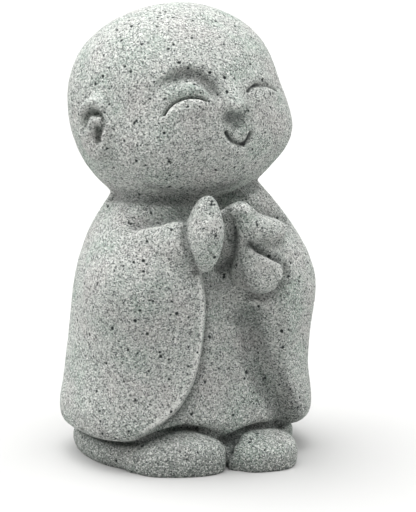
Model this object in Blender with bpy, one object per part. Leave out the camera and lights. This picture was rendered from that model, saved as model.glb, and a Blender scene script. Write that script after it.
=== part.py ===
"""Small cast-stone monk: a round smiling head on a long sleeved robe, both hands raised.

The figure faces -Y, its own right hand is at -X and +Z is up.
The origin is the centre of its flat underside, and lengths are in metres.
"""
import math

import bmesh
import bpy
import numpy as np
from mathutils import Matrix, Vector

# Driving dimension. Everything else on the figure is a share of this height.
STATUE_HEIGHT = 0.090

# Stone
STONE_COLOUR = (0.36, 0.38, 0.36, 1.0)
STONE_ROUGHNESS = 0.95

# Head: centre, half sizes, and how far it is turned and tipped, in degrees
HEAD_CENTRE = (-0.004, 0.030, 0.765)
HEAD_HALF = (0.240, 0.238, 0.230)
HEAD_TURN = 4.5
HEAD_TIP = 4.3

# Face and ears. Places, widths and spreads are degrees round the head, across from the
# nose and up, and rises and depths are shares of the height like every other size.
BROW_PEAK = (24.0, 33.5)
BROW_FALLS = (0.055, 0.024)
BROW_HOLLOWS = (0.018, 0.004)
BROW_EDGE = (-1.5, 2.5)
BROW_FADE = (3.0, 11.0)
BROW_INNER_END = (5.0, 12.0)
BROW_OUTER_END = (26.0, 52.0)
LINE_WIDTH = 1.5
EYE_PEAK = (23.8, 16.0)
EYE_FALLS = (0.033, 0.041)
EYE_DEPTH = 0.011
EYE_INNER_END = (13.0, 16.5)
EYE_OUTER_END = (33.0, 38.0)
LOWER_LID = (-4.0, 3.0, 0.0050)
UPPER_LID = (4.5, 3.5, 0.0028)
NOSE_PLACE = (0.0, 9.5)
NOSE_HALF = (8.2, 10.5)
NOSE_RISE = 0.024
NOSE_UNDERCUT = (-0.5, 7.0)
BRIDGE_PLACE = (0.0, 17.0)
BRIDGE_SPREAD = (4.0, 9.0)
BRIDGE_RISE = 0.0072
UNDER_NOSE_PLACE = (0.0, -1.0)
UNDER_NOSE_SPREAD = (5.0, 2.5)
UNDER_NOSE_DEPTH = 0.0048
MOUTH_PLACE = (1.0, -11.5)
MOUTH_CURVE = 0.105
MOUTH_END = (5.5, 9.0)
MOUTH_DEPTH = 0.013
LIP = (-4.0, 3.0, 0.0039)
CHEEK_PLACE = (46.0, -15.0)
CHEEK_SPREAD = (20.0, 17.0)
CHEEK_RISE = 0.020
CHIN_PLACE = (0.0, -20.0)
CHIN_SPREAD = (16.0, 14.0)
CHIN_RISE = 0.010
TEMPLE_PLACE = (58.0, 13.0)
TEMPLE_SPREAD = (36.0, 18.0)
TEMPLE_DEPTH = 0.010
NAPE_PLACE = (132.0, 32.0)
NAPE_SPREAD = (45.0, 28.0)
NAPE_RISE = 0.013
# The right and the left ear, which sits further back, and the groove and hole in each as
# shares of its half sizes
EARS_ACROSS = (80.0, 90.0)
EAR_UP = -1.0
EAR_HALF = (11.5, 19.0)
EAR_RISE = 0.020
EAR_EDGE = (0.70, 1.12)
EAR_GROOVE_CENTRE = (-0.18, 0.02)
EAR_GROOVE_REACH = 0.50
EAR_GROOVE_WIDTH = 0.14
EAR_GROOVE_END = (-0.15, 0.20)
EAR_GROOVE_DEPTH = 0.0195
EAR_HOLE_PLACE = (-0.38, -0.10)
EAR_HOLE_SPREAD = (0.22, 0.30)
EAR_HOLE_DEPTH = 0.026
# Shell round the head's surface, and the heights under the chin, where the carving fades
HEAD_SHELL = 0.12
CHIN_FADE = (-52.0, -40.0)

# Robe: half width, half depth and centre of the plan at each height
ROBE_STATIONS = (
    (0.050, 0.270, 0.222, 0.000),
    (0.090, 0.281, 0.232, 0.000),
    (0.180, 0.271, 0.225, 0.000),
    (0.300, 0.257, 0.212, 0.000),
    (0.400, 0.246, 0.198, -0.002),
    (0.460, 0.234, 0.182, -0.006),
    (0.520, 0.212, 0.158, -0.008),
    (0.570, 0.181, 0.133, -0.008),
    (0.610, 0.145, 0.110, -0.008),
    (0.650, 0.090, 0.080, 0.000),
)
ROBE_SQUARENESS = 2.35

# Sleeves: the angle of each front edge from the front, in degrees, at each height
RIGHT_SLEEVE_EDGE = (
    (0.080, -54.0), (0.105, -46.0), (0.140, -35.0), (0.175, -28.5), (0.225, -22.5),
    (0.300, -18.5), (0.380, -17.0), (0.440, -20.0), (0.500, -26.0), (0.560, -30.0),
)
LEFT_SLEEVE_EDGE = (
    (0.060, 46.0), (0.110, 42.0), (0.165, 37.0), (0.230, 35.5), (0.330, 35.0),
    (0.400, 35.0), (0.480, 36.0), (0.560, 38.0),
)
LEFT_SLEEVE_FOOT = (
    (0.060, 44.0), (0.108, 40.0), (0.167, 33.0), (0.232, 27.0), (0.334, 20.0),
    (0.420, 17.0), (0.560, 15.0),
)
EDGE_WIDTH_RIGHT = 5.0
# How deep the front lies behind the sleeve edges, above and at the foot of the robe
FRONT_RECESS = 0.056
FOOT_RECESS = 0.0364
FOOT_RECESS_HEIGHTS = (0.20, 0.07)
# Elbows: how far the sleeve swells, at which angle and at which height
RIGHT_ELBOW = (0.050, -50.0, 0.425)
LEFT_ELBOW = (0.042, 57.0, 0.390)
ELBOW_RISE = 0.130
ELBOW_SPREAD = 35.0
# Fold between the right forearm and the chest: angle, height, spreads and depth
FOLD_PLACE = (-40.0, 0.588)
FOLD_SPREAD = (26.0, 0.026)
FOLD_DEPTH = 0.021

# Hem of the robe: an arch over each foot and a dip between them
HEM_HEIGHT = 0.064
RIGHT_HEM_ARCH = (-29.0, 21.0, 0.037)
LEFT_HEM_ARCH = (24.0, 18.0, 0.016)
HEM_DIP = (2.0, 6.0, -0.015)
HEM_ROUND = 0.014
HEM_GROOVE = 0.013
HEM_GROOVE_HALF = 0.010
HEM_GROOVE_DROP = 0.003
# Distances from the axis over which the robe's carving begins
CARVE_START = (0.10, 0.14)

# Under-robe and feet
SKIRT_HALF = (0.246, 0.198)
SKIRT_SQUARENESS = 2.5
SKIRT_BACK = 0.014
SKIRT_PROFILE = (
    (-0.020, 0.018), (0.000, 0.010), (0.010, 0.003), (0.030, 0.000),
    (0.065, 0.008), (0.090, 0.035), (0.105, 0.080),
)
FOOT_SQUARENESS = 2.8
RIGHT_FOOT = ((-0.084, -0.127, 0.028), (0.112, 0.103, 0.060))
RIGHT_FOOT_TURN = -22.0
LEFT_FOOT = ((0.090, -0.148, 0.023), (0.086, 0.126, 0.050))
LEFT_FOOT_TURN = -8.0
# Crease between the feet: angle, height, spreads and depth
TOE_GAP_PLACE = (-0.5, 0.020)
TOE_GAP_SPREAD = (2.4, 0.050)
TOE_GAP_DEPTH = 0.030

# Arms inside the sleeves: elbow, wrist, thickness at each
RIGHT_ARM = ((-0.170, -0.070, 0.450), (-0.098, -0.160, 0.495), 0.080, 0.060)
LEFT_ARM = ((0.165, -0.060, 0.438), (0.096, -0.160, 0.488), 0.074, 0.050)

# Hands
RIGHT_HAND = ((-0.068, -0.222, 0.534), (0.037, 0.054, 0.087))
RIGHT_HAND_LEAN = (8.0, 4.0)
RIGHT_HAND_POINT = 0.2
LEFT_PALM = ((0.048, -0.172, 0.500), (0.045, 0.062, 0.084))
LEFT_THUMB = ((-0.012, -0.205, 0.568), (0.026, -0.206, 0.570), 0.015, 0.026)
LEFT_FINGERS = ((0.056, -0.208, 0.529), (0.104, -0.212, 0.514), 0.037, 0.035)
LEFT_HEEL = ((0.071, -0.196, 0.441), (0.047, 0.062, 0.053))
LEFT_HEEL_LEAN = 18.0
LEFT_HEEL_SQUARENESS = 2.8

# Surface making
ROBE_MESH = (360, 130)
SKIRT_SIDES = 180
LIMB_SIDES = 48
LIMB_END_RINGS = 12
VOXEL = 0.0048
SMOOTH_TURNS = 7
TRIANGLES = 9400


def clear_scene():
    """Remove whatever objects the scene holds."""
    for thing in list(bpy.data.objects):
        bpy.data.objects.remove(thing, do_unlink=True)


def stations(table, height, column=1):
    """Smooth values of one column of a table of stations at the given heights."""
    heights = np.array([row[0] for row in table])
    values = np.array([row[column] for row in table])
    slopes = np.gradient(values, heights)
    height = np.clip(height, heights[0], heights[-1])
    i = np.clip(np.searchsorted(heights, height) - 1, 0, len(heights) - 2)
    span = heights[i + 1] - heights[i]
    t = (height - heights[i]) / span
    return ((2 * t**3 - 3 * t**2 + 1) * values[i] + (t**3 - 2 * t**2 + t) * slopes[i] * span
            + (3 * t**2 - 2 * t**3) * values[i + 1] + (t**3 - t**2) * slopes[i + 1] * span)


def smooth_step(value, start, end):
    """Values from 0 to 1 as value goes from start to end."""
    t = np.clip((value - start) / (end - start), 0.0, 1.0)
    return t * t * (3.0 - 2.0 * t)


def bell(value, centre, spread):
    """Soft bump of height 1."""
    return np.exp(-((value - centre) / spread) ** 2)


def place(name, mesh):
    """New object with the given mesh, in the scene."""
    thing = bpy.data.objects.new(name, mesh)
    bpy.context.scene.collection.objects.link(thing)
    return thing


def loft(name, rings):
    """Closed body through an array of rings of points, the lowest ring first."""
    levels, count = rings.shape[:2]
    points = [tuple(p) for p in rings.reshape(-1, 3)]
    faces = []
    for r in range(levels - 1):
        for k in range(count):
            a, b = r * count + k, r * count + (k + 1) % count
            faces.append((a, b, b + count, a + count))
    for ring, first, turn in ((rings[0], 0, -1), (rings[-1], (levels - 1) * count, 1)):
        hub = len(points)
        points.append(tuple(ring.mean(axis=0)))
        for k in range(count):
            pair = (first + k, first + (k + 1) % count)
            faces.append((hub, *pair[::turn]))
    mesh = bpy.data.meshes.new(name)
    mesh.from_pydata(points, [], faces)
    return place(name, mesh)


def plan_radius(degrees, half_width, half_depth, squareness):
    """Distance from the axis to a squarish oval, at angles from the front."""
    s, c = np.abs(np.sin(np.radians(degrees))), np.abs(np.cos(np.radians(degrees)))
    return ((s / half_width) ** squareness + (c / half_depth) ** squareness) ** (-1 / squareness)


def hem_height(degrees):
    """Height of the robe's hem round the figure."""
    height = HEM_HEIGHT
    for centre, spread, rise in (RIGHT_HEM_ARCH, LEFT_HEM_ARCH, HEM_DIP):
        height = height + rise * bell(degrees, centre, spread)
    return height


def robe_radius(degrees, height):
    """Distance from the axis to the robe, with its sleeves and its recessed front."""
    half_width = stations(ROBE_STATIONS, height, 1)
    half_depth = stations(ROBE_STATIONS, height, 2)
    radius = plan_radius(degrees, half_width, half_depth, ROBE_SQUARENESS)
    for bulge, angle, level in (RIGHT_ELBOW, LEFT_ELBOW):
        swell = bell(degrees, angle, ELBOW_SPREAD) * bell(height, level, ELBOW_RISE)
        radius = radius + bulge * swell
    right = stations(RIGHT_SLEEVE_EDGE, height)
    inside = smooth_step(degrees, right, right + EDGE_WIDTH_RIGHT)
    left, foot = stations(LEFT_SLEEVE_EDGE, height), stations(LEFT_SLEEVE_FOOT, height)
    inside = inside * np.clip((left - degrees) / (left - foot), 0.0, 1.0)
    low = smooth_step(height, *FOOT_RECESS_HEIGHTS)
    return radius - (FRONT_RECESS + (FOOT_RECESS - FRONT_RECESS) * low) * inside


def make_robe():
    """Robe with both sleeves, as one loft of computed rings."""
    sides, levels = ROBE_MESH
    degrees, share = np.meshgrid(np.linspace(-180, 180, sides, endpoint=False),
                                 np.linspace(0, 1, levels))
    low = hem_height(degrees)
    height = low + (ROBE_STATIONS[-1][0] - low) * share
    edge = np.clip(1.0 - (height - low) / HEM_ROUND, 0.0, 1.0)
    radius = robe_radius(degrees, height) - HEM_ROUND * (1.0 - np.sqrt(1.0 - edge**2))
    theta = np.radians(degrees)
    centre = stations(ROBE_STATIONS, height, 3)
    rings = np.stack((radius * np.sin(theta), centre - radius * np.cos(theta), height), axis=-1)
    return loft("robe", rings)


def make_skirt():
    """Plain under-robe that shows below the hem, down to the ground."""
    degrees = np.linspace(-180, 180, SKIRT_SIDES, endpoint=False)
    theta = np.radians(degrees)
    rings = []
    for height, inset in SKIRT_PROFILE:
        radius = plan_radius(degrees, SKIRT_HALF[0] - inset, SKIRT_HALF[1] - inset,
                             SKIRT_SQUARENESS)
        rings.append(np.stack((radius * np.sin(theta), SKIRT_BACK - radius * np.cos(theta),
                               np.full_like(theta, height)), axis=-1))
    return loft("skirt", np.array(rings))


def make_ball(name, centre, half, turn=None, point=0.0, squareness=2.0):
    """Ellipsoid with the given half sizes; point narrows its upper end."""
    bm = bmesh.new()
    bmesh.ops.create_icosphere(bm, subdivisions=6, radius=1.0)
    for v in bm.verts:
        grow = sum(abs(c) ** squareness for c in v.co) ** (-1 / squareness)
        taper = grow * (1.0 - point * max(0.0, v.co.z) ** 1.5)
        v.co = Vector((v.co.x * half[0] * taper, v.co.y * half[1] * taper,
                       v.co.z * half[2] * grow))
    if turn is not None:
        bmesh.ops.rotate(bm, verts=bm.verts, cent=(0, 0, 0), matrix=turn)
    bmesh.ops.translate(bm, verts=bm.verts, vec=Vector(centre))
    mesh = bpy.data.meshes.new(name)
    bm.to_mesh(mesh)
    bm.free()
    return place(name, mesh)


def make_limb(name, start, end, radius_start, radius_end):
    """Round-ended limb between two points."""
    start, end = Vector(start), Vector(end)
    length = (end - start).length
    turn = (end - start).to_track_quat("Z", "Y").to_matrix()
    quarter = np.radians(np.linspace(5, 90, LIMB_END_RINGS))
    low = [(-radius_start * math.cos(t), radius_start * math.sin(t)) for t in quarter]
    high = [(length + radius_end * math.cos(t), radius_end * math.sin(t)) for t in quarter[::-1]]
    rings = []
    for along, radius in low + high:
        ring = []
        for a in np.linspace(0, 2 * math.pi, LIMB_SIDES, endpoint=False):
            spot = start + turn @ Vector((radius * math.cos(a), radius * math.sin(a), along))
            ring.append(tuple(spot))
        rings.append(ring)
    return loft(name, np.array(rings))


def head_frame():
    """Rotation of the head: turned to its left and tipped to its right."""
    turn = Matrix.Rotation(math.radians(HEAD_TURN), 3, "Z")
    return turn @ Matrix.Rotation(-math.radians(HEAD_TIP), 3, "Y")


def make_head():
    """Plain round head, before its face is carved."""
    return make_ball("head", HEAD_CENTRE, HEAD_HALF, head_frame())


def make_feet():
    """Two rounded feet under the hem."""
    feet = []
    for name, foot, angle in (("right_foot", RIGHT_FOOT, RIGHT_FOOT_TURN),
                              ("left_foot", LEFT_FOOT, LEFT_FOOT_TURN)):
        turn = Matrix.Rotation(math.radians(angle), 3, "Z")
        feet.append(make_ball(name, *foot, turn=turn, squareness=FOOT_SQUARENESS))
    return feet


def make_arms_and_hands():
    """Forearms in their sleeves and both raised hands."""
    back, aside = (math.radians(angle) for angle in RIGHT_HAND_LEAN)
    lean = Matrix.Rotation(aside, 3, "Y") @ Matrix.Rotation(back, 3, "X")
    heel = Matrix.Rotation(math.radians(LEFT_HEEL_LEAN), 3, "Y")
    return [
        make_limb("right_arm", *RIGHT_ARM),
        make_limb("left_arm", *LEFT_ARM),
        make_ball("right_hand", *RIGHT_HAND, turn=lean, point=RIGHT_HAND_POINT),
        make_ball("left_palm", *LEFT_PALM),
        make_limb("left_thumb", *LEFT_THUMB),
        make_limb("left_fingers", *LEFT_FINGERS),
        make_ball("left_heel", *LEFT_HEEL, turn=heel,
                  squareness=LEFT_HEEL_SQUARENESS),
    ]


def join_and_smooth(pieces):
    """Join the pieces and melt them into one skin with soft inner corners."""
    bpy.ops.object.select_all(action="DESELECT")
    for piece in pieces:
        piece.select_set(True)
    bpy.context.view_layer.objects.active = pieces[0]
    bpy.ops.object.join()
    body = bpy.context.view_layer.objects.active
    remesh = body.modifiers.new("one_skin", "REMESH")
    remesh.mode = "VOXEL"
    remesh.voxel_size = VOXEL
    bpy.ops.object.modifier_apply(modifier=remesh.name)
    smooth = body.modifiers.new("soft", "SMOOTH")
    smooth.factor = 0.5
    smooth.iterations = SMOOTH_TURNS
    bpy.ops.object.modifier_apply(modifier=smooth.name)
    return body


def arch(across, peak, falls):
    """Height, in degrees, of an arch over the eye; it falls faster or slower each side."""
    fall = np.where(across < peak[0], *falls)
    return peak[1] - fall * (across - peak[0]) ** 2


def mound(across, up, centre, spread):
    """Soft round mound of height 1 on the head."""
    return bell(across, centre[0], spread[0]) * bell(up, centre[1], spread[1])


def brow(across, up):
    """Hollow under each brow, sharp above and soft below, and deeper on its right."""
    side = np.abs(across)
    below = arch(side, BROW_PEAK, BROW_FALLS) - up
    hollow = smooth_step(below, *BROW_EDGE) * (1.0 - smooth_step(below, *BROW_FADE))
    hollow *= smooth_step(side, *BROW_INNER_END) * (1.0 - smooth_step(side, *BROW_OUTER_END))
    return -np.where(across < 0.0, *BROW_HOLLOWS) * hollow


def eye(side, up):
    """Closed smiling eye: a curved line between two full lids."""
    line = arch(side, EYE_PEAK, EYE_FALLS)
    ends = smooth_step(side, *EYE_INNER_END) * (1.0 - smooth_step(side, *EYE_OUTER_END))
    relief = -EYE_DEPTH * bell(up, line, LINE_WIDTH)
    for place, spread, rise in (LOWER_LID, UPPER_LID):
        relief += rise * bell(up, line + place, spread)
    return ends * relief


def nose(across, up):
    """Bridge and round tip, with a hollow under it."""
    reach = np.hypot((across - NOSE_PLACE[0]) / NOSE_HALF[0], (up - NOSE_PLACE[1]) / NOSE_HALF[1])
    tip = (1.0 - smooth_step(reach, 0.0, 1.0)) * smooth_step(up, *NOSE_UNDERCUT)
    relief = NOSE_RISE * tip + BRIDGE_RISE * mound(across, up, BRIDGE_PLACE, BRIDGE_SPREAD)
    return relief - UNDER_NOSE_DEPTH * mound(across, up, UNDER_NOSE_PLACE, UNDER_NOSE_SPREAD)


def mouth(across, up):
    """Smile: a line that rises at both ends, over a full lip."""
    sway = across - MOUTH_PLACE[0]
    smile = MOUTH_PLACE[1] + MOUTH_CURVE * sway**2
    place, spread, rise = LIP
    relief = rise * bell(up, smile + place, spread) - MOUTH_DEPTH * bell(up, smile, LINE_WIDTH)
    return (1.0 - smooth_step(np.abs(sway), *MOUTH_END)) * relief


def ear(across, up):
    """Raised oval with a curved groove over a bump, and a deep hole at its front."""
    u = (np.abs(across) - np.where(across < 0.0, *EARS_ACROSS)) / EAR_HALF[0]
    v = (up - EAR_UP) / EAR_HALF[1]
    relief = EAR_RISE * (1.0 - smooth_step(np.hypot(u, v), *EAR_EDGE))
    ring = np.hypot(u - EAR_GROOVE_CENTRE[0], v - EAR_GROOVE_CENTRE[1])
    groove = bell(ring, EAR_GROOVE_REACH, EAR_GROOVE_WIDTH) * smooth_step(v, *EAR_GROOVE_END)
    hole = mound(u, v, EAR_HOLE_PLACE, EAR_HOLE_SPREAD)
    return relief - EAR_GROOVE_DEPTH * groove - EAR_HOLE_DEPTH * hole


def face_relief(across, up):
    """How far the face and ears stand out of the plain head, at angles across and up."""
    side = np.abs(across)
    relief = brow(across, up) + eye(side, up) + nose(across, up) + mouth(across, up)
    relief += CHEEK_RISE * mound(side, up, CHEEK_PLACE, CHEEK_SPREAD)
    relief += CHIN_RISE * mound(across, up, CHIN_PLACE, CHIN_SPREAD)
    relief -= TEMPLE_DEPTH * mound(side, up, TEMPLE_PLACE, TEMPLE_SPREAD)
    relief += NAPE_RISE * mound(side, up, NAPE_PLACE, NAPE_SPREAD)
    return relief + ear(across, up)


def head_spots(points):
    """Angles across and up of points about the head's centre, and how near the head they are."""
    turn = np.array(head_frame())
    local = (points - np.array(HEAD_CENTRE)) @ turn / np.array(HEAD_HALF)
    reach = np.linalg.norm(local, axis=1)
    across = np.degrees(np.arctan2(local[:, 0], -local[:, 1]))
    up = np.degrees(np.arcsin(np.clip(local[:, 2] / reach, -1.0, 1.0)))
    near = bell(reach, 1.0, HEAD_SHELL) * smooth_step(up, *CHIN_FADE)
    return across, up, near


def carve_head(points):
    """Points moved out of or into the head by its face and ears."""
    across, up, near = head_spots(points)
    outward = points - np.array(HEAD_CENTRE)
    outward /= np.linalg.norm(outward, axis=1)[:, None]
    return points + outward * (face_relief(across, up) * near)[:, None]


def carve_robe(points):
    """Points drawn in along the hem's underside, between the feet and in the sleeve's fold."""
    degrees = np.degrees(np.arctan2(points[:, 0], -points[:, 1]))
    reach = np.hypot(points[:, 0], points[:, 1])
    height = points[:, 2]
    line = hem_height(degrees) - HEM_GROOVE_DROP
    pull = HEM_GROOVE * bell(height, line, HEM_GROOVE_HALF)
    fold = mound(degrees, height, FOLD_PLACE, FOLD_SPREAD)
    gap = mound(degrees, height, TOE_GAP_PLACE, TOE_GAP_SPREAD)
    pull = (pull + FOLD_DEPTH * fold + TOE_GAP_DEPTH * gap) * smooth_step(reach, *CARVE_START)
    moved = points.copy()
    moved[:, :2] -= points[:, :2] / reach[:, None] * pull[:, None]
    return moved


def carve(body):
    """Carve the lines that are finer than the joined forms."""
    count = len(body.data.vertices)
    points = np.empty(count * 3)
    body.data.vertices.foreach_get("co", points)
    points = carve_robe(carve_head(points.reshape(-1, 3)))
    body.data.vertices.foreach_set("co", points.ravel())
    body.data.update()


def stone():
    """Cool grey cast stone."""
    material = bpy.data.materials.new("cast_stone")
    material.use_nodes = True
    shader = material.node_tree.nodes["Principled BSDF"]
    shader.inputs["Base Color"].default_value = STONE_COLOUR
    shader.inputs["Roughness"].default_value = STONE_ROUGHNESS
    shader.inputs["Metallic"].default_value = 0.0
    return material


def finish(body):
    """Bring the figure to size, cut its underside flat and thin its faces."""
    body.name = "monk_statue"
    body.data.name = "monk_statue"
    body.data.transform(Matrix.Scale(STATUE_HEIGHT, 4))
    thin = body.modifiers.new("fewer_faces", "DECIMATE")
    thin.ratio = TRIANGLES / (2.0 * len(body.data.polygons))
    thin.use_collapse_triangulate = True
    bpy.ops.object.modifier_apply(modifier=thin.name)
    bm = bmesh.new()
    bm.from_mesh(body.data)
    everything = bm.verts[:] + bm.edges[:] + bm.faces[:]
    cut = bmesh.ops.bisect_plane(bm, geom=everything, plane_co=(0, 0, 0), plane_no=(0, 0, -1),
                                 clear_outer=True)
    rim = [e for e in cut["geom_cut"] if isinstance(e, bmesh.types.BMEdge)]
    bmesh.ops.contextual_create(bm, geom=rim)
    bmesh.ops.triangulate(bm, faces=bm.faces[:])
    bm.to_mesh(body.data)
    bm.free()
    body.data.shade_smooth()
    body.data.materials.clear()
    body.data.materials.append(stone())
    return body


def main():
    clear_scene()
    pieces = [make_robe(), make_skirt(), make_head(), *make_feet(), *make_arms_and_hands()]
    body = join_and_smooth(pieces)
    carve(body)
    finish(body)


main()
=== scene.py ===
"""Small cast-stone monk with sand grain, pits and crisp carving, on a pale studio floor.

The figure faces -Y, its own right hand is at -X and +Z is up. Every size of the figure is a
share of its height, places on its head are degrees across from the nose and up, and places on
its robe are degrees round the axis from the front, with a height.
"""
import math

import bpy
import numpy as np
from bpy.props import FloatProperty, FloatVectorProperty, IntProperty, PointerProperty
from mathutils import Matrix, Vector, noise
from mathutils.kdtree import KDTree


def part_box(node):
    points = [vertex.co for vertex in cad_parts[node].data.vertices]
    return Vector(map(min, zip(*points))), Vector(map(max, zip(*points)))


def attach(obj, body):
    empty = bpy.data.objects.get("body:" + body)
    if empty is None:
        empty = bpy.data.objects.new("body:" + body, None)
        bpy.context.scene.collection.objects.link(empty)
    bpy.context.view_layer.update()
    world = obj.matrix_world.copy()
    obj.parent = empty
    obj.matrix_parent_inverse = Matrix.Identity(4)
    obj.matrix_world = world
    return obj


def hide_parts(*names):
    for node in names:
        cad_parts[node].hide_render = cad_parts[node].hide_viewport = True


bl_info = {
    "name": "Stone monk",
    "version": (1, 0, 0),
    "blender": (4, 5, 0),
    "location": "View3D > Sidebar > Stone monk",
    "description": "Carves and finishes a small cast-stone monk and sets its studio",
    "category": "Object",
}

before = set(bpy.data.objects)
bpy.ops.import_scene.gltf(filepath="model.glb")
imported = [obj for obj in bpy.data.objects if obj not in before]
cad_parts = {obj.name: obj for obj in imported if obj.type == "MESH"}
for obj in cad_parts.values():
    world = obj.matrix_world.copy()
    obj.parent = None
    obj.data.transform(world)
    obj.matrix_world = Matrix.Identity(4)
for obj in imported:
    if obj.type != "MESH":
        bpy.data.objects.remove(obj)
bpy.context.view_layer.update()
NODE = "monk_statue"

# The crown of the head stands at this share of the height that all sizes are shares of
CROWN = 0.9952
LOWEST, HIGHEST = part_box(NODE)
HEIGHT = (HIGHEST.z - LOWEST.z) / CROWN

# Head: centre, half sizes, turn and tip in degrees
HEAD_CENTRE = (-0.004, 0.030, 0.765)
HEAD_HALF = (0.240, 0.238, 0.230)
HEAD_TURN = 4.5
HEAD_TIP = 4.3

# A ray towards the head's centre starts this far from it
OUTSIDE_HEAD = 0.4

# Face lines: places on the head that each one runs through
RIGHT_EYE = (
    (-37.8, 8.4), (-35.3, 11.2), (-33.6, 13.0), (-31.4, 14.5), (-29.3, 15.5), (-26.6, 16.1),
    (-23.9, 16.3), (-21.3, 16.1), (-18.6, 15.5), (-17.1, 14.9), (-15.8, 14.1),
)
LEFT_EYE = (
    (11.8, 15.3), (13.8, 16.2), (17.1, 16.9), (20.6, 16.9), (25.0, 16.2), (29.5, 14.7),
    (34.3, 12.3), (38.9, 9.8),
)
MOUTH = (
    (-5.6, -4.6), (-4.7, -5.9), (-3.5, -8.0), (-1.9, -9.9), (-0.2, -11.1), (2.7, -11.9),
    (5.3, -11.4), (7.2, -10.1), (8.7, -8.3), (9.3, -7.2),
)
LINE_BENDS = 4
LINE_POINTS = 15

# The rim of each lid lies this many degrees below the eye's line
LID_DROP = 1.9
LID_REACH = 0.0009

# The far eye's line and lid are shallower than the near one's by these shares
FAR_LINE = 0.65
FAR_LID = 0.5

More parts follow.
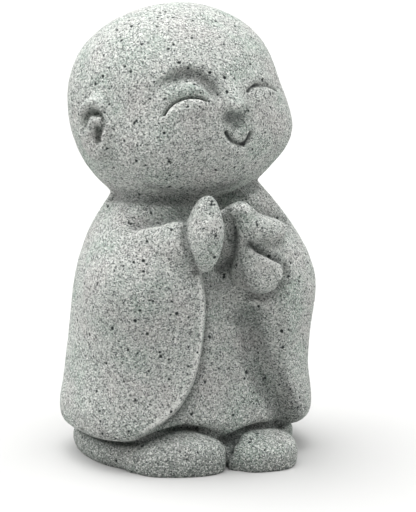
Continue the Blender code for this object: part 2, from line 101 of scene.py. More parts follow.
# Cuts of the chisel: points on the skin as shares of the height, then half width and depth in
# metres. A depth below 0 raises a ridge.
CUTS = {
    "underside of the nose": (
        ((-0.001, -0.210, 0.778), (0.014, -0.207, 0.771), (0.031, -0.205, 0.774)),
        0.0030, 0.0012),
    "tip of the nose": (
        ((-0.001, -0.221, 0.809), (0.004, -0.226, 0.805), (0.009, -0.229, 0.806)),
        0.0016, -0.0003),
    "inner end of the brow": (
        ((-0.049, -0.166, 0.865), (-0.037, -0.175, 0.853), (-0.027, -0.183, 0.836)),
        0.0026, 0.0003),
    "hollow of the brow": (
        ((-0.105, -0.141, 0.857), (-0.083, -0.145, 0.865), (-0.063, -0.153, 0.868)),
        0.0024, 0.0002),
    "groove of the ear": (
        ((-0.226, -0.049, 0.772), (-0.228, -0.043, 0.777), (-0.232, -0.030, 0.780),
         (-0.238, -0.022, 0.779), (-0.244, -0.018, 0.776), (-0.248, -0.014, 0.769)),
        0.0009, 0.0009),
    "hole of the ear": (
        ((-0.231, -0.044, 0.747), (-0.230, -0.042, 0.739), (-0.230, -0.043, 0.725)),
        0.0010, 0.0012),
    "step of the ear": (
        ((-0.240, -0.046, 0.765), (-0.230, -0.051, 0.763)),
        0.0011, -0.0011),
    "rim of the ear": (
        ((-0.230, -0.051, 0.801), (-0.240, -0.038, 0.807), (-0.250, -0.023, 0.801),
         (-0.256, -0.011, 0.787), (-0.258, -0.002, 0.768)),
        0.0018, -0.0005),
    "inner bump of the ear": (
        ((-0.245, -0.038, 0.766), (-0.248, -0.039, 0.756), (-0.247, -0.037, 0.742)),
        0.0012, -0.0005),
    "crease of the neck": (
        ((-0.170, 0.023, 0.582), (-0.161, -0.050, 0.589), (-0.131, -0.086, 0.591),
         (-0.088, -0.106, 0.590), (-0.042, -0.110, 0.589)),
        0.0016, 0.0009),
    "crease of the neck on its left": (
        ((0.029, -0.115, 0.586), (0.064, -0.115, 0.592), (0.095, -0.112, 0.601),
         (0.129, -0.086, 0.606)),
        0.0016, 0.0009),
    "hollow of the right sleeve": (
        ((-0.175, -0.116, 0.547), (-0.151, -0.127, 0.553), (-0.122, -0.135, 0.558),
         (-0.089, -0.137, 0.564), (-0.062, -0.122, 0.570)),
        0.0032, 0.0013),
    "upper edge of the right sleeve": (
        ((-0.177, -0.130, 0.534), (-0.149, -0.146, 0.540), (-0.124, -0.168, 0.547),
         (-0.104, -0.184, 0.548)),
        0.0024, -0.0005),
    "edge of the right hand": (
        ((-0.072, -0.145, 0.551), (-0.102, -0.195, 0.546), (-0.110, -0.206, 0.531),
         (-0.112, -0.215, 0.516), (-0.108, -0.221, 0.499), (-0.100, -0.225, 0.482),
         (-0.084, -0.216, 0.451)),
        0.0010, 0.0010),
    "gap beside the left thumb": (
        ((-0.014, -0.214, 0.584), (-0.014, -0.218, 0.563), (-0.006, -0.212, 0.550)),
        0.0013, 0.0012),
    "gap between the hands": (
        ((0.010, -0.184, 0.542), (0.007, -0.192, 0.519), (0.006, -0.192, 0.491),
         (0.008, -0.182, 0.467), (0.017, -0.148, 0.439)),
        0.0024, 0.0016),
    "top of the left thumb": (
        ((0.009, -0.217, 0.585), (0.023, -0.223, 0.587), (0.033, -0.227, 0.578)),
        0.0020, -0.0003),
    "fold of the left thumb": (
        ((0.061, -0.203, 0.569), (0.044, -0.226, 0.562), (0.034, -0.229, 0.550)),
        0.0010, 0.0006),
    "chest behind the fingers": (
        ((0.107, -0.141, 0.551), (0.126, -0.138, 0.546), (0.149, -0.132, 0.540),
         (0.170, -0.126, 0.530), (0.188, -0.121, 0.517)),
        0.0022, 0.0011),
    "upper fingers": (
        ((0.051, -0.240, 0.544), (0.079, -0.243, 0.535), (0.100, -0.243, 0.529)),
        0.0034, -0.0007),
    "end of the upper fingers": (
        ((0.134, -0.228, 0.522), (0.120, -0.240, 0.511), (0.106, -0.242, 0.498)),
        0.0015, 0.0007),
    "below the upper fingers": (
        ((0.063, -0.240, 0.506), (0.079, -0.242, 0.502), (0.097, -0.245, 0.503)),
        0.0017, 0.0009),
    "crease of the left hand": (
        ((0.036, -0.232, 0.501), (0.047, -0.235, 0.495), (0.061, -0.240, 0.486),
         (0.076, -0.249, 0.477), (0.095, -0.250, 0.468), (0.110, -0.244, 0.460)),
        0.0013, 0.0013),
    "edge of the lower fingers": (
        ((0.036, -0.233, 0.488), (0.051, -0.241, 0.479), (0.065, -0.251, 0.469),
         (0.083, -0.255, 0.459), (0.096, -0.254, 0.446), (0.100, -0.250, 0.430)),
        0.0017, -0.0004),
    "side of the lower fingers": (
        ((0.130, -0.222, 0.448), (0.142, -0.197, 0.431), (0.139, -0.201, 0.412),
         (0.127, -0.201, 0.393), (0.117, -0.198, 0.383), (0.091, -0.186, 0.378),
         (0.068, -0.173, 0.383)),
        0.0018, 0.0009),
    "gap between the feet": (
        ((0.022, -0.180, 0.066), (0.015, -0.187, 0.059), (0.006, -0.200, 0.045),
         (0.004, -0.204, 0.030)),
        0.0013, 0.0012),
    "foot of the gap between the feet": (
        ((0.006, -0.215, 0.018), (0.006, -0.213, 0.006)),
        0.0022, -0.0009),
    "side of the right foot": (
        ((-0.200, -0.130, 0.006), (-0.202, -0.122, 0.019), (-0.204, -0.118, 0.032)),
        0.0034, -0.0011),
}

# Cuts along which painted shade darkens the stone much or a little, and along which a painted
# highlight lightens it
DEEP_SHADED = (
    "underside of the nose", "gap between the hands", "crease of the left hand",
    "gap between the feet",
)
SHADED = (
    "inner end of the brow", "hollow of the brow", "crease of the neck",
    "crease of the neck on its left", "hollow of the right sleeve",
    "gap beside the left thumb", "chest behind the fingers", "side of the lower fingers",
    "edge of the right hand",
)
PAINTED_HIGHLIGHTS = (
    "tip of the nose", "upper edge of the right sleeve", "edge of the lower fingers",
    "top of the left thumb",
)

# More lines along which painted shade darkens the stone a little, as shares of the height
CHIN = (
    (-0.142, -0.109, 0.625), (-0.104, -0.118, 0.615), (-0.058, -0.133, 0.611),
    (-0.006, -0.149, 0.614), (0.048, -0.153, 0.625),
)
UNDER_LEFT_HAND = (
    (0.024, -0.213, 0.449), (0.024, -0.228, 0.425), (0.038, -0.232, 0.404),
    (0.064, -0.225, 0.393), (0.092, -0.217, 0.388), (0.117, -0.213, 0.395),
)
UNDER_RIGHT_HAND = (
    (-0.032, -0.158, 0.408), (-0.006, -0.154, 0.400), (0.020, -0.152, 0.405),
)

# Painted shade darkens the fold beside the left sleeve along its line turned by each of these
# degrees
FOLD_SHADES = (-4.0, 0.0, 4.0)

# How far from its lines each mark of painted shade or painted highlight reaches, in metres
CUT_SHADE_MARK = 0.0007
SHADE_MARK = 0.0030
DEEP_SHADE_MARK = 0.0026
HIGHLIGHT_MARK = 0.0010

# Skin under the left thumb and beside the gap between the hands, smoothed before the cuts
UNDER_THUMB = ((0.013, -0.219, 0.552), (0.012, -0.190, 0.545), (0.009, -0.162, 0.540))
BESIDE_GAP = (
    (0.006, -0.224, 0.565), (0.016, -0.206, 0.543), (0.014, -0.208, 0.522),
    (0.013, -0.210, 0.500), (0.015, -0.211, 0.478), (0.020, -0.208, 0.457),
)

# Smoothing before the cuts: turns over the whole skin and strength of a turn, then how far it
# reaches from its lines in metres with its turns
SKIN_TURNS = 8
SMOOTHING = 0.5
FACE_SMOOTHING = (0.0022, 140)
THUMB_SMOOTHING = (0.0036, 150)
GAP_SMOOTHING = (0.0042, 300)
FOOT_SMOOTHING = (0.0036, 300)

# Hem and sleeve edges, as on the solid: heights as shares and angles in degrees. Each arch or
# dip of the hem has its angle, its spread and its rise.
HEM_HEIGHT = 0.064
RIGHT_HEM_ARCH = (-29.0, 21.0, 0.037)
LEFT_HEM_ARCH = (24.0, 18.0, 0.016)
HEM_DIP = (2.0, 6.0, -0.015)
HEM_POINTS = 145

RIGHT_SLEEVE_EDGE = (
    (0.105, -46.0), (0.140, -35.0), (0.175, -28.5), (0.225, -22.5),
    (0.300, -18.5), (0.380, -17.0), (0.440, -20.0),
)
LEFT_SLEEVE_EDGE = (
    (0.080, 44.0), (0.110, 42.0), (0.165, 37.0), (0.230, 35.5), (0.330, 35.0), (0.400, 35.0),
)
LEFT_SLEEVE_FOOT = (
    (0.080, 42.5), (0.108, 40.0), (0.167, 33.0), (0.232, 27.0), (0.334, 20.0),
)
EDGE_POINTS = 24

# The hem's crease lies this far below the hem. The right sleeve's crease and rim are turned
# from its edge by these degrees.
HEM_DROP = 0.003
CREASE_TURN = 5.0
RIM_TURN = -1.0

# Half widths of the crease, the fold and the rims in metres, and shares of their depths
CREASE_REACH = 0.0012
FOLD_REACH = 0.0030
FOLD_DEPTH = 0.7
RIGHT_RIM_REACH = 0.0012
LEFT_RIM_REACH = 0.0016
LEFT_RIM_HEIGHT = 0.6

# Cast surface: widths of lumps and grain in metres, the seed of the pits, the smallest pit as
# a share of the largest, how rare large ones are and how ragged they all are
LUMP_SIZE = 0.004
GRAIN_WIDTH = 0.0006
PIT_SEED = 7
SMALLEST_PIT = 0.4
PIT_RARITY = 3
PIT_RAGGED = 0.5

# The stone turns darker and greener below the first height. It would reach its full low tone at the
# second, underground.
LOW_TONE_TOP = 0.20
LOW_TONE_FULL = -0.13

# Stone: the values of patterns and marks at which each blend of colours starts and is complete
GREEN_PATCHES = (0.48, 0.70)
WARM_PATCHES = (0.50, 0.32)
HIGHLIGHT_BLEND = (0.0, 1.3)
WHITE_GRAINS = (0.38, 1.09)
DARK_GRAINS = (0.38, 1.13)
SPECKS = (0.04, -0.02)
# Each of these marks darkens the stone with painted shade: in the pits, the cut lines, the creases
# and the hollows
PAINTED_SHADE_MARKS = {
    "pit": (0.10, 0.45), "shade": (0.0, 2.4), "deep": (0.0, 1.7), "cut": (0.12, 1.10),
}

# Specks differ in size by this share of their spacing, negative because it is taken away
SPECK_SPREAD = -0.16
PATCH_DETAIL = 3.0

# Sheen of the stone and the floor, and the bump of the finest grain: its width in grains, its
# detail, strength and height in metres
STONE_ROUGHNESS = 0.92
STONE_SPECULAR = 0.25
FLOOR_ROUGHNESS = 0.9
FINE_WIDTH = 1.6
FINE_DETAIL = 2.0
FINE_STRENGTH = 0.8
FINE_HEIGHT = 0.00025

# Skin that faces down and lies below this height is the flat underside
UNDERSIDE = 0.004
FACES_DOWN = -0.8

# Faces of the solid's own underside face down more than this, and lie lower than this share
SOLID_FACES_DOWN = -0.99
SOLID_UNDERSIDE = 0.001
MERGE_DISTANCE = 1e-6

# Camera: the angle, distance in heights and framing that the picture of the figure has
CAMERA_AZIMUTH = -27.0
CAMERA_ELEVATION = 12.0
CAMERA_DISTANCE = 6.0
IMAGE = (416, 512)
FOCAL_PIXELS = 2712.0
AIM_HEIGHT = 0.5
AIM_PIXEL = (186.0, 227.5)
SENSOR = 36.0
NEAREST = 0.001
AIM = Vector((0.0, 0.0, AIM_HEIGHT * HEIGHT))

# Lights: azimuth from the figure's front, elevation and width of each, in degrees
LIGHTS = {
    "key": (225.0, 55.0, 90.0),
    "top": (0.0, 90.0, 60.0),
    "front": (15.0, 55.0, 60.0),
    "side": (90.0, 25.0, 60.0),
}


class CarvingSettings(bpy.types.PropertyGroup):
    """Sizes of the carving and of the cast surface."""

    mesh_size: FloatProperty(
        name="Mesh size", description="Size of the carved skin's squares before it is thinned",
        default=0.00026, unit="LENGTH")
    triangles: IntProperty(
        name="Triangles", description="Triangles of the finished skin", default=194000)
    line_reach: FloatProperty(
        name="Line reach", description="Half width of the lines of the eyes and the mouth",
        default=0.00085, unit="LENGTH")
    line_depth: FloatProperty(
        name="Line depth", description="Depth of the lines of the eyes and the mouth",
        default=0.00110, unit="LENGTH")
    lid_height: FloatProperty(
        name="Lid height", description="Height of the rim below the near eye's line",
        default=0.00055, unit="LENGTH")
    crease_depth: FloatProperty(
        name="Crease depth", description="Depth of the creases beside hem and sleeves",
        default=0.00080, unit="LENGTH")
    edge_height: FloatProperty(
        name="Edge height", description="Height of the rims of the sleeves",
        default=0.00024, unit="LENGTH")
    lump_height: FloatProperty(
        name="Lump height", description="Height of the slow lumps of the casting",
        default=0.00020, unit="LENGTH")
    grain_height: FloatProperty(
        name="Grain height", description="Height of the sand grain", default=0.00010,
        unit="LENGTH")
    pit_count: IntProperty(
        name="Pits", description="Number of small pits all over the figure", default=1700)
    pit_reach: FloatProperty(
        name="Pit reach", description="Half width of a large pit", default=0.00042,
        unit="LENGTH")
    pit_depth: FloatProperty(
        name="Pit depth", description="Depth of a large pit", default=0.00035, unit="LENGTH")


class StoneSettings(bpy.types.PropertyGroup):
    """Colours and grain of the stone."""

    base: FloatVectorProperty(
        name="Stone", description="Cement and fine sand between the grains", subtype="COLOR",
        size=4, default=(0.386, 0.408, 0.384, 1.0), min=0.0, max=1.0)
    # Also the colour of the painted shade in the pits, cut lines, creases and hollows
    dark: FloatVectorProperty(
        name="Dark grains", description="Dark sand grains and pits", subtype="COLOR",
        size=4, default=(0.035, 0.040, 0.040, 1.0), min=0.0, max=1.0)
    # Also the colour of the painted highlights along ridges, rims and the near lid
    light: FloatVectorProperty(
        name="Light grains", description="White sand grains", subtype="COLOR",
        size=4, default=(0.70, 0.71, 0.68, 1.0), min=0.0, max=1.0)
    tint: FloatVectorProperty(
        name="Tint", description="Faint green patches", subtype="COLOR",
        size=4, default=(0.315, 0.370, 0.330, 1.0), min=0.0, max=1.0)
    warm: FloatVectorProperty(
        name="Warm tint", description="Faint warm patches", subtype="COLOR",
        size=4, default=(0.408, 0.408, 0.390, 1.0), min=0.0, max=1.0)
    low_tone: FloatVectorProperty(
        name="Low_tone", description="Darker green that the stone turns to near the ground",
        subtype="COLOR", size=4, default=(0.12, 0.15, 0.13, 1.0), min=0.0, max=1.0)
    grain_size: FloatProperty(
        name="Grain size", description="Width of one sand grain", default=0.00022,
        unit="LENGTH")
    speck_size: FloatProperty(
        name="Speck spacing", description="Spacing of the dark specks", default=0.0018,
        unit="LENGTH")
    patch_size: FloatProperty(
        name="Patch size", description="Width of the green and the warm patches",
        default=0.007, unit="LENGTH")


class StudioSettings(bpy.types.PropertyGroup):
    """Floor and light of the studio."""

    floor_colour: FloatVectorProperty(
        name="Floor", description="Plain pale floor", subtype="COLOR",
        size=4, default=(0.475, 0.475, 0.47, 1.0), min=0.0, max=1.0)
    floor_width: FloatProperty(
        name="Floor width", description="Width of the floor", default=6.0, unit="LENGTH")
    sky: FloatProperty(
        name="Surrounding light", description="Strength of the even white light", default=0.02)
    key: FloatProperty(
        name="Key light", description="Strength of the wide light from behind at the picture's left",
        default=4.7)
    top: FloatProperty(
        name="Top light", description="Strength of the wide light from above", default=1.7)
    front: FloatProperty(
        name="Front light", description="Strength of the wide light from the front",
        default=1.35)
    side: FloatProperty(
        name="Side light", description="Strength of the low light at the picture's right",
        default=1.55)


def link(name, mesh):
    """New object with the given mesh, in the scene."""
    thing = bpy.data.objects.new(name, mesh)
    bpy.context.scene.collection.objects.link(thing)
    return thing


def pick(piece):
    """Make the piece the only selected and the active object."""
    bpy.ops.object.select_all(action="DESELECT")
    piece.select_set(True)
    bpy.context.view_layer.objects.active = piece


def finish_modifier(piece, name, kind, **values):
    """Add a modifier to the piece and apply it."""
    pick(piece)
    modifier = piece.modifiers.new(name, kind)
    for key, value in values.items():
        setattr(modifier, key, value)
    bpy.ops.object.modifier_apply(modifier=modifier.name)


def near_lines(piece, name, lines, reach):
    """Vertex group that falls from 1 on the lines to 0 at the given reach from them."""
    points, edges = [], []
    for line in lines:
        edges += [(len(points) + k, len(points) + k + 1) for k in range(len(line) - 1)]
        points += [tuple(spot) for spot in line]
    mesh = bpy.data.meshes.new("guide")
    mesh.from_pydata(points, edges, [])
    guide = link("guide", mesh)
    group = piece.vertex_groups.new(name=name)
    group.add(range(len(piece.data.vertices)), 1.0, "REPLACE")
    finish_modifier(piece, "near", "VERTEX_WEIGHT_PROXIMITY", vertex_group=name,
                    target=guide, proximity_mode="GEOMETRY", proximity_geometry={"EDGE"},
                    min_dist=reach, max_dist=0.0, falloff_type="SMOOTH")
    bpy.data.objects.remove(guide, do_unlink=True)
    return name


def carve(piece, lines, reach, depth):
    """Cut along the lines, or raise a ridge there where the depth is below 0."""
    group = near_lines(piece, "carve", lines, reach)
    finish_modifier(piece, "cut", "DISPLACE", strength=-depth, mid_level=0.0,
                    vertex_group=group)
    piece.vertex_groups.clear()


def soften(piece, lines, reach, turns):
    """Smooth the skin near the lines."""
    group = near_lines(piece, "soften", lines, reach)
    finish_modifier(piece, "smooth", "SMOOTH", factor=SMOOTHING, iterations=turns,
                    vertex_group=group)
    piece.vertex_groups.clear()


def head_way(across, up):
    """Direction from the head's centre to a place on it."""
    a, u = math.radians(across), math.radians(up)
    way = Vector((HEAD_HALF[0] * math.sin(a) * math.cos(u),
                  -HEAD_HALF[1] * math.cos(a) * math.cos(u), HEAD_HALF[2] * math.sin(u)))
    turn = Matrix.Rotation(math.radians(HEAD_TURN), 3, "Z")
    return (turn @ Matrix.Rotation(-math.radians(HEAD_TIP), 3, "Y") @ way).normalized()


def on_head(piece, across, up):
    """Point of the skin at a place on the head."""
    centre, way = Vector(HEAD_CENTRE) * HEIGHT, head_way(across, up)
    hit, spot, _, _ = piece.ray_cast(centre + way * OUTSIDE_HEAD * HEIGHT, -way)
    if not hit:
        raise RuntimeError(f"no skin on the head at {across}, {up}")
    return spot


def on_robe(piece, degrees, height):
    """Point of the skin round the axis, seen from inside."""
    theta = math.radians(degrees)
    way = Vector((math.sin(theta), -math.cos(theta), 0.0))
    hit, spot, _, _ = piece.ray_cast(Vector((0.0, 0.0, height * HEIGHT)), way)
    if not hit:
        raise RuntimeError(f"no skin on the robe at {degrees}, {height}")
    return spot


def face_line(piece, places, drop=0.0):
    """Smooth line on the skin through places on the head, or one that lies lower by drop."""
    across, up = np.array(places).T
    curve = np.polynomial.Polynomial.fit(across, up, LINE_BENDS)
    return [on_head(piece, a, curve(a) - drop)
            for a in np.linspace(across[0], across[-1], LINE_POINTS)]


def on_skin(piece, points):
    """Nearest points of the skin to a line of points given as shares of the height."""
    return [piece.closest_point_on_mesh(Vector(point) * HEIGHT)[1] for point in points]


def hem_height(degrees):
    """Height of the robe's hem round the figure."""
    height = HEM_HEIGHT
    for centre, spread, rise in (RIGHT_HEM_ARCH, LEFT_HEM_ARCH, HEM_DIP):
        height += rise * math.exp(-((degrees - centre) / spread) ** 2)
    return height


def along(piece, table, turn=0.0):
    """Line on the robe through a table of heights and angles, turned by some degrees."""
    heights = np.array([row[0] for row in table])
    angles = np.array([row[1] for row in table])
    return [on_robe(piece, float(np.interp(h, heights, angles)) + turn, float(h))
            for h in np.linspace(heights[0], heights[-1], EDGE_POINTS)]


def copy_of_solid():
    """Merged copy of the figure's solid, with the rim of its underside kept sharp."""
    piece = link("carved_monk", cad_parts[NODE].data.copy())
    pick(piece)
    bpy.ops.object.mode_set(mode="EDIT")
    bpy.ops.mesh.select_mode(type="FACE")
    bpy.ops.mesh.select_all(action="SELECT")
    bpy.ops.mesh.remove_doubles(threshold=MERGE_DISTANCE)
    bpy.ops.mesh.select_all(action="DESELECT")
    bpy.ops.object.mode_set(mode="OBJECT")
    for face in piece.data.polygons:
        face.select = (face.normal.z < SOLID_FACES_DOWN
                       and face.center.z < SOLID_UNDERSIDE * HEIGHT)
    bpy.ops.object.mode_set(mode="EDIT")
    bpy.ops.mesh.region_to_loop()
    bpy.ops.transform.edge_crease(value=1.0)
    bpy.ops.object.mode_set(mode="OBJECT")
    return piece


def mark(piece, name, lines, reach):
    """Keep how near the skin is to the lines as an attribute for the stone's colour."""
    near_lines(piece, "near_" + name, lines, reach)
    weights = np.zeros(len(piece.data.vertices))
    for vertex in piece.data.vertices:
        for entry in vertex.groups:
            weights[vertex.index] = entry.weight
    piece.vertex_groups.clear()
    piece.data.attributes.new(name, "FLOAT", "POINT").data.foreach_set("value", weights)


def add_noise(piece, name, size, height):
    """Rough the whole skin with clouds of the given size and height."""
    texture = bpy.data.textures.new(name, "CLOUDS")
    texture.noise_scale = size
    finish_modifier(piece, name, "DISPLACE", texture=texture, texture_coords="LOCAL",
                    strength=height, mid_level=0.5)
    bpy.data.textures.remove(texture)


def add_pits(piece, settings):
    """Small pits at seeded places, kept as weights with which the stone's colour paints shade into
    them.
    """
    count = len(piece.data.vertices)
    points = np.empty(count * 3)
    piece.data.vertices.foreach_get("co", points)
    points = points.reshape(-1, 3)
    tree = KDTree(count)
    for index, point in enumerate(points):
        tree.insert(point, index)
    tree.balance()
    dice = np.random.default_rng(PIT_SEED)
    depths = np.zeros(count)
    for centre in dice.choice(count, settings.pit_count, replace=False):
        size = SMALLEST_PIT + (1.0 - SMALLEST_PIT) * dice.random() ** PIT_RARITY
        for spot, index, distance in tree.find_range(points[centre], settings.pit_reach * size):
            ragged = 1.0 + PIT_RAGGED * noise.noise(spot / settings.pit_reach)
            share = 1.0 - (distance * ragged / (settings.pit_reach * size)) ** 2
            depths[index] = max(depths[index], share * size)
    piece.data.attributes.new("pit", "FLOAT", "POINT").data.foreach_set("value", depths)
    group = piece.vertex_groups.new(name="pits")
    for index in np.flatnonzero(depths):
        group.add((int(index),), depths[index], "REPLACE")
    finish_modifier(piece, "pits", "DISPLACE", strength=-settings.pit_depth, mid_level=0.0,
                    vertex_group=group.name)
    piece.vertex_groups.clear()


def flatten_underside(piece):
    """Bring the skin's lowest points back to the ground."""
    count = len(piece.data.vertices)
    points, normals = np.empty(count * 3), np.empty(count * 3)
    piece.data.vertices.foreach_get("co", points)
    piece.data.vertex_normals.foreach_get("vector", normals)
    points, normals = points.reshape(-1, 3), normals.reshape(-1, 3)
    under = (points[:, 2] < UNDERSIDE * HEIGHT) & (normals[:, 2] < FACES_DOWN)
    points[under, 2] = 0.0
    points[:, 2] = np.maximum(points[:, 2], 0.0)
    piece.data.vertices.foreach_set("co", points.ravel())
    piece.data.update()


def mix(tree, factor, first, second):
    """Blend two colours, each a socket or a value, by a factor socket."""
    made = tree.nodes.new("ShaderNodeMix")
    made.data_type = "RGBA"
    tree.links.new(factor, made.inputs[0])
    for socket, colour in ((made.inputs[6], first), (made.inputs[7], second)):
        if isinstance(colour, bpy.types.NodeSocket):
            tree.links.new(colour, socket)
        else:
            socket.default_value = colour
    return made.outputs[2]


def ramp(tree, value, low, high):
    """Smooth factor from 0 to 1 as a socket's value goes from low to high."""
    made = tree.nodes.new("ShaderNodeMapRange")
    made.interpolation_type = "SMOOTHSTEP"
    tree.links.new(value, made.inputs["Value"])
    made.inputs["From Min"].default_value = low
    made.inputs["From Max"].default_value = high
    return made.outputs["Result"]


def pattern(tree, kind, place, size, **values):
    """Noise or cell pattern of the given size on Object coordinates."""
    made = tree.nodes.new(kind)
    for key, value in values.items():
        made.inputs[key].default_value = value
    made.inputs["Scale"].default_value = 1.0 / size
    tree.links.new(place, made.inputs["Vector"])
    return made


def nearness(tree, name, low, high):
    """Smooth factor from 0 to 1 as the skin's attribute of that name goes from low to high."""
    made = tree.nodes.new("ShaderNodeAttribute")
    made.attribute_name = name
    return ramp(tree, made.outputs["Fac"], low, high)


def stone_material(settings):
    """Cool grey cast stone with patches, grains and specks, darker and greener low down, with
    painted shade in its pits, cuts and hollows and painted highlights on its ridges.
    """
    material = bpy.data.materials.new("cast_stone")
    material.use_nodes = True
    tree = material.node_tree
    shader = tree.nodes["Principled BSDF"]
    shader.inputs["Roughness"].default_value = STONE_ROUGHNESS
    shader.inputs["Metallic"].default_value = 0.0
    shader.inputs["Specular IOR Level"].default_value = STONE_SPECULAR
    place = tree.nodes.new("ShaderNodeTexCoord").outputs["Object"]
    grain = pattern(tree, "ShaderNodeTexVoronoi", place, settings.grain_size)
    split = tree.nodes.new("ShaderNodeSeparateColor")
    tree.links.new(grain.outputs["Color"], split.inputs["Color"])
    patch = pattern(tree, "ShaderNodeTexNoise", place, settings.patch_size,
                    Detail=PATCH_DETAIL)
    green = ramp(tree, patch.outputs["Fac"], *GREEN_PATCHES)
    colour = mix(tree, green, settings.base, settings.tint)
    colour = mix(tree, ramp(tree, patch.outputs["Fac"], *WARM_PATCHES), colour, settings.warm)
    parts = tree.nodes.new("ShaderNodeSeparateXYZ")
    tree.links.new(place, parts.inputs["Vector"])
    # Darker and greener towards the ground
    height = ramp(tree, parts.outputs["Z"], LOW_TONE_TOP * HEIGHT, LOW_TONE_FULL * HEIGHT)
    colour = mix(tree, height, colour, settings.low_tone)
    # Painted highlights along ridges, rims and the near lid
    colour = mix(tree, nearness(tree, "worn", *HIGHLIGHT_BLEND), colour, settings.light)
    colour = mix(tree, ramp(tree, split.outputs["Red"], *WHITE_GRAINS), colour, settings.light)
    colour = mix(tree, ramp(tree, split.outputs["Green"], *DARK_GRAINS), colour, settings.dark)
    speck = pattern(tree, "ShaderNodeTexVoronoi", place, settings.speck_size)
    choice = tree.nodes.new("ShaderNodeSeparateColor")
    tree.links.new(speck.outputs["Color"], choice.inputs["Color"])
    size = tree.nodes.new("ShaderNodeMath")
    size.operation = "MULTIPLY_ADD"
    size.inputs[1].default_value = SPECK_SPREAD
    tree.links.new(choice.outputs["Red"], size.inputs[0])
    tree.links.new(speck.outputs["Distance"], size.inputs[2])
    colour = mix(tree, ramp(tree, size.outputs[0], *SPECKS), colour, settings.dark)
    # Painted shade in the pits, cut lines, creases and hollows and under the hands and chin
    for name, (low, high) in PAINTED_SHADE_MARKS.items():
        colour = mix(tree, nearness(tree, name, low, high), colour, settings.dark)
    tree.links.new(colour, shader.inputs["Base Color"])
    fine = pattern(tree, "ShaderNodeTexNoise", place, settings.grain_size * FINE_WIDTH,
                   Detail=FINE_DETAIL)
    rough = tree.nodes.new("ShaderNodeBump")
    rough.inputs["Strength"].default_value = FINE_STRENGTH
    rough.inputs["Distance"].default_value = FINE_HEIGHT
    tree.links.new(fine.outputs["Fac"], rough.inputs["Height"])
    tree.links.new(rough.outputs["Normal"], shader.inputs["Normal"])
    return material


def way_to(azimuth, elevation):
    """Direction at an azimuth from the figure's front and an elevation, in degrees."""
    a, e = math.radians(azimuth), math.radians(elevation)
    return Vector((math.sin(a) * math.cos(e), -math.cos(a) * math.cos(e), math.sin(e)))


def turned_to(way):
    """Turn of a camera or light that looks back along the given way."""
    return way.to_track_quat("Z", "Y").to_euler()


def plain_material(name, colour, roughness):
    """Even matte finish."""
    material = bpy.data.materials.new(name)
    material.use_nodes = True
    shader = material.node_tree.nodes["Principled BSDF"]
    shader.inputs["Base Color"].default_value = colour
    shader.inputs["Roughness"].default_value = roughness
    return material


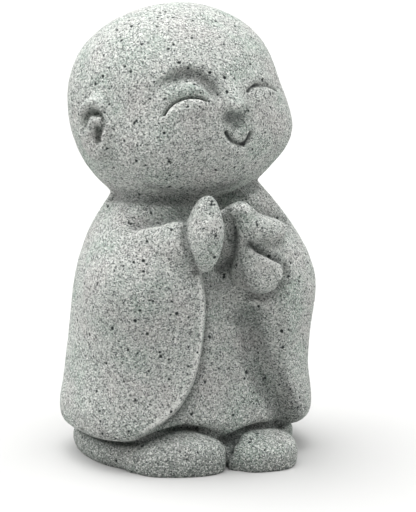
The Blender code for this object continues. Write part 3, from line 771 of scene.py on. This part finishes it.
class MONK_OT_carve(bpy.types.Operator):
    """Carve the figure finely on a copy of its solid and give it its stone."""

    bl_idname = "monk.carve"
    bl_label = "Carve the monk"

    def execute(self, context):
        sizes = context.scene.monk_carving
        piece = copy_of_solid()
        finish_modifier(piece, "round", "SUBSURF", levels=2, render_levels=2)
        finish_modifier(piece, "skin", "REMESH", mode="VOXEL", voxel_size=sizes.mesh_size)
        finish_modifier(piece, "soft", "SMOOTH", factor=SMOOTHING,
                        iterations=SKIN_TURNS)
        context.view_layer.update()
        face, cuts = self.smooth(piece)
        robe = self.robe_lines(piece)
        self.mark_stone(piece, face, cuts, robe)
        self.carve_face(piece, face, sizes)
        for name, (_, reach, depth) in CUTS.items():
            carve(piece, [cuts[name]], reach, depth)
        self.carve_robe(piece, robe, sizes)
        add_noise(piece, "lumps", LUMP_SIZE, sizes.lump_height)
        add_noise(piece, "grain", GRAIN_WIDTH, sizes.grain_height)
        add_pits(piece, sizes)
        squares = len(piece.data.polygons)
        thin = sizes.triangles / (2.0 * squares)
        finish_modifier(piece, "thin", "DECIMATE", ratio=thin, use_collapse_triangulate=True)
        flatten_underside(piece)
        piece.data.shade_smooth()
        piece.data.materials.clear()
        piece.data.materials.append(stone_material(context.scene.monk_stone))
        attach(piece, "root")
        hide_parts(NODE)
        return {"FINISHED"}

    def smooth(self, piece):
        """Find the lines of the face and the cuts, and smooth the skin that they need."""
        face = {
            "near eye": face_line(piece, RIGHT_EYE),
            "far eye": face_line(piece, LEFT_EYE),
            "mouth": face_line(piece, MOUTH),
            "near lid": face_line(piece, RIGHT_EYE, LID_DROP),
            "far lid": face_line(piece, LEFT_EYE, LID_DROP),
        }
        soften(piece, [face["near eye"], face["far eye"], face["mouth"]], *FACE_SMOOTHING)
        soften(piece, [on_skin(piece, UNDER_THUMB)], *THUMB_SMOOTHING)
        soften(piece, [on_skin(piece, BESIDE_GAP)], *GAP_SMOOTHING)
        cuts = {name: on_skin(piece, points) for name, (points, _, _) in CUTS.items()}
        soften(piece, [cuts["side of the right foot"]], *FOOT_SMOOTHING)
        return face, cuts

    def robe_lines(self, piece):
        """Lines of the hem, the sleeves' edges and the fold beside the left sleeve."""
        return {
            "hem": [on_robe(piece, d, hem_height(d) - HEM_DROP)
                    for d in np.linspace(-180, 180, HEM_POINTS)],
            "crease": along(piece, RIGHT_SLEEVE_EDGE, CREASE_TURN),
            "fold": along(piece, LEFT_SLEEVE_FOOT),
            "right rim": along(piece, RIGHT_SLEEVE_EDGE, RIM_TURN),
            "left rim": along(piece, LEFT_SLEEVE_EDGE),
        }

    def mark_stone(self, piece, face, cuts, robe):
        """Mark where painted shade darkens the stone and where painted highlights lighten it."""
        shades = [along(piece, LEFT_SLEEVE_FOOT, turn) for turn in FOLD_SHADES]
        shades += [on_skin(piece, points) for points in
                   (CHIN, UNDER_LEFT_HAND, UNDER_RIGHT_HAND, BESIDE_GAP)]
        shades += [cuts[name] for name in SHADED]
        lines = [face["near eye"], face["far eye"], face["mouth"]]
        worn = [cuts[name] for name in PAINTED_HIGHLIGHTS]
        # Painted shade along the cut lines, creases and hollows, and painted highlights on ridges
        # and rims
        mark(piece, "cut", [*lines, robe["crease"]], CUT_SHADE_MARK)
        mark(piece, "shade", [*shades, robe["hem"], robe["crease"]], SHADE_MARK)
        mark(piece, "deep", [cuts[name] for name in DEEP_SHADED], DEEP_SHADE_MARK)
        mark(piece, "worn", [*worn, face["near lid"], robe["right rim"]], HIGHLIGHT_MARK)

    def carve_face(self, piece, face, sizes):
        """Cut the lines of the eyes and the mouth and raise the lids below the eyes."""
        carve(piece, [face["near eye"], face["mouth"]], sizes.line_reach, sizes.line_depth)
        carve(piece, [face["far eye"]], sizes.line_reach, FAR_LINE * sizes.line_depth)
        carve(piece, [face["near lid"]], LID_REACH, -sizes.lid_height)
        carve(piece, [face["far lid"]], LID_REACH, -FAR_LID * sizes.lid_height)

    def carve_robe(self, piece, robe, sizes):
        """Cut the creases beside hem and sleeves and raise the sleeves' rims."""
        carve(piece, [robe["hem"], robe["crease"]], CREASE_REACH, sizes.crease_depth)
        carve(piece, [robe["fold"]], FOLD_REACH, FOLD_DEPTH * sizes.crease_depth)
        carve(piece, [robe["right rim"]], RIGHT_RIM_REACH, -sizes.edge_height)
        carve(piece, [robe["left rim"]], LEFT_RIM_REACH, -LEFT_RIM_HEIGHT * sizes.edge_height)


class MONK_OT_studio(bpy.types.Operator):
    """Lay the floor, hang the lights and place the camera."""

    bl_idname = "monk.studio"
    bl_label = "Set the studio"

    def execute(self, context):
        studio = context.scene.monk_studio
        bpy.ops.object.select_all(action="DESELECT")
        bpy.ops.mesh.primitive_plane_add(size=studio.floor_width, location=(0.0, 0.0, 0.0))
        floor = context.active_object
        floor.name = "studio_floor"
        floor.data.materials.append(plain_material("pale_floor", studio.floor_colour,
                                                   FLOOR_ROUGHNESS))
        world = bpy.data.worlds.new("studio_world")
        world.use_nodes = True
        sky = world.node_tree.nodes["Background"]
        sky.inputs["Color"].default_value = (1.0, 1.0, 1.0, 1.0)
        sky.inputs["Strength"].default_value = studio.sky
        context.scene.world = world
        self.add_lights(studio)
        self.add_camera(context)
        return {"FINISHED"}

    def add_lights(self, studio):
        """Wide soft lights from the picture's left, from above, the front and its right."""
        for name, (azimuth, elevation, width) in LIGHTS.items():
            light = bpy.data.lights.new(name, "SUN")
            light.energy = getattr(studio, name)
            light.angle = math.radians(width)
            link(name, light).rotation_euler = turned_to(way_to(azimuth, elevation))

    def add_camera(self, context):
        """Camera at the picture's angle and framing."""
        back = way_to(CAMERA_AZIMUTH, CAMERA_ELEVATION)
        lens = bpy.data.cameras.new("camera")
        camera = link("camera", lens)
        camera.location = AIM + back * CAMERA_DISTANCE * HEIGHT
        camera.rotation_euler = turned_to(back)
        long_side = max(IMAGE)
        lens.sensor_width = SENSOR
        lens.lens = FOCAL_PIXELS * SENSOR / long_side
        lens.shift_x = (IMAGE[0] / 2 - AIM_PIXEL[0]) / long_side
        lens.shift_y = (AIM_PIXEL[1] - IMAGE[1] / 2) / long_side
        lens.clip_start = NEAREST
        context.scene.camera = camera
        context.scene.view_settings.view_transform = "Standard"


class MONK_PT_panel(bpy.types.Panel):
    """Steps and sizes of the stone monk."""

    bl_idname = "MONK_PT_panel"
    bl_label = "Stone monk"
    bl_space_type = "VIEW_3D"
    bl_region_type = "UI"
    bl_category = "Stone monk"

    def draw(self, context):
        for group in GROUPS:
            box = self.layout.box()
            settings = getattr(context.scene, group)
            for name in settings.bl_rna.properties.keys():
                if name not in ("rna_type", "name"):
                    box.prop(settings, name)
        for operator in OPERATORS:
            self.layout.operator(operator.bl_idname)


GROUPS = {
    "monk_carving": CarvingSettings,
    "monk_stone": StoneSettings,
    "monk_studio": StudioSettings,
}
OPERATORS = (MONK_OT_carve, MONK_OT_studio)


def register():
    for settings in GROUPS.values():
        bpy.utils.register_class(settings)
    for name, settings in GROUPS.items():
        setattr(bpy.types.Scene, name, PointerProperty(type=settings))
    for operator in OPERATORS:
        bpy.utils.register_class(operator)
    bpy.utils.register_class(MONK_PT_panel)


def unregister():
    bpy.utils.unregister_class(MONK_PT_panel)
    for operator in reversed(OPERATORS):
        bpy.utils.unregister_class(operator)
    for name, settings in GROUPS.items():
        delattr(bpy.types.Scene, name)
        bpy.utils.unregister_class(settings)


def main():
    register()
    bpy.ops.monk.carve()
    bpy.ops.monk.studio()


if __name__ == "__main__":
    main()
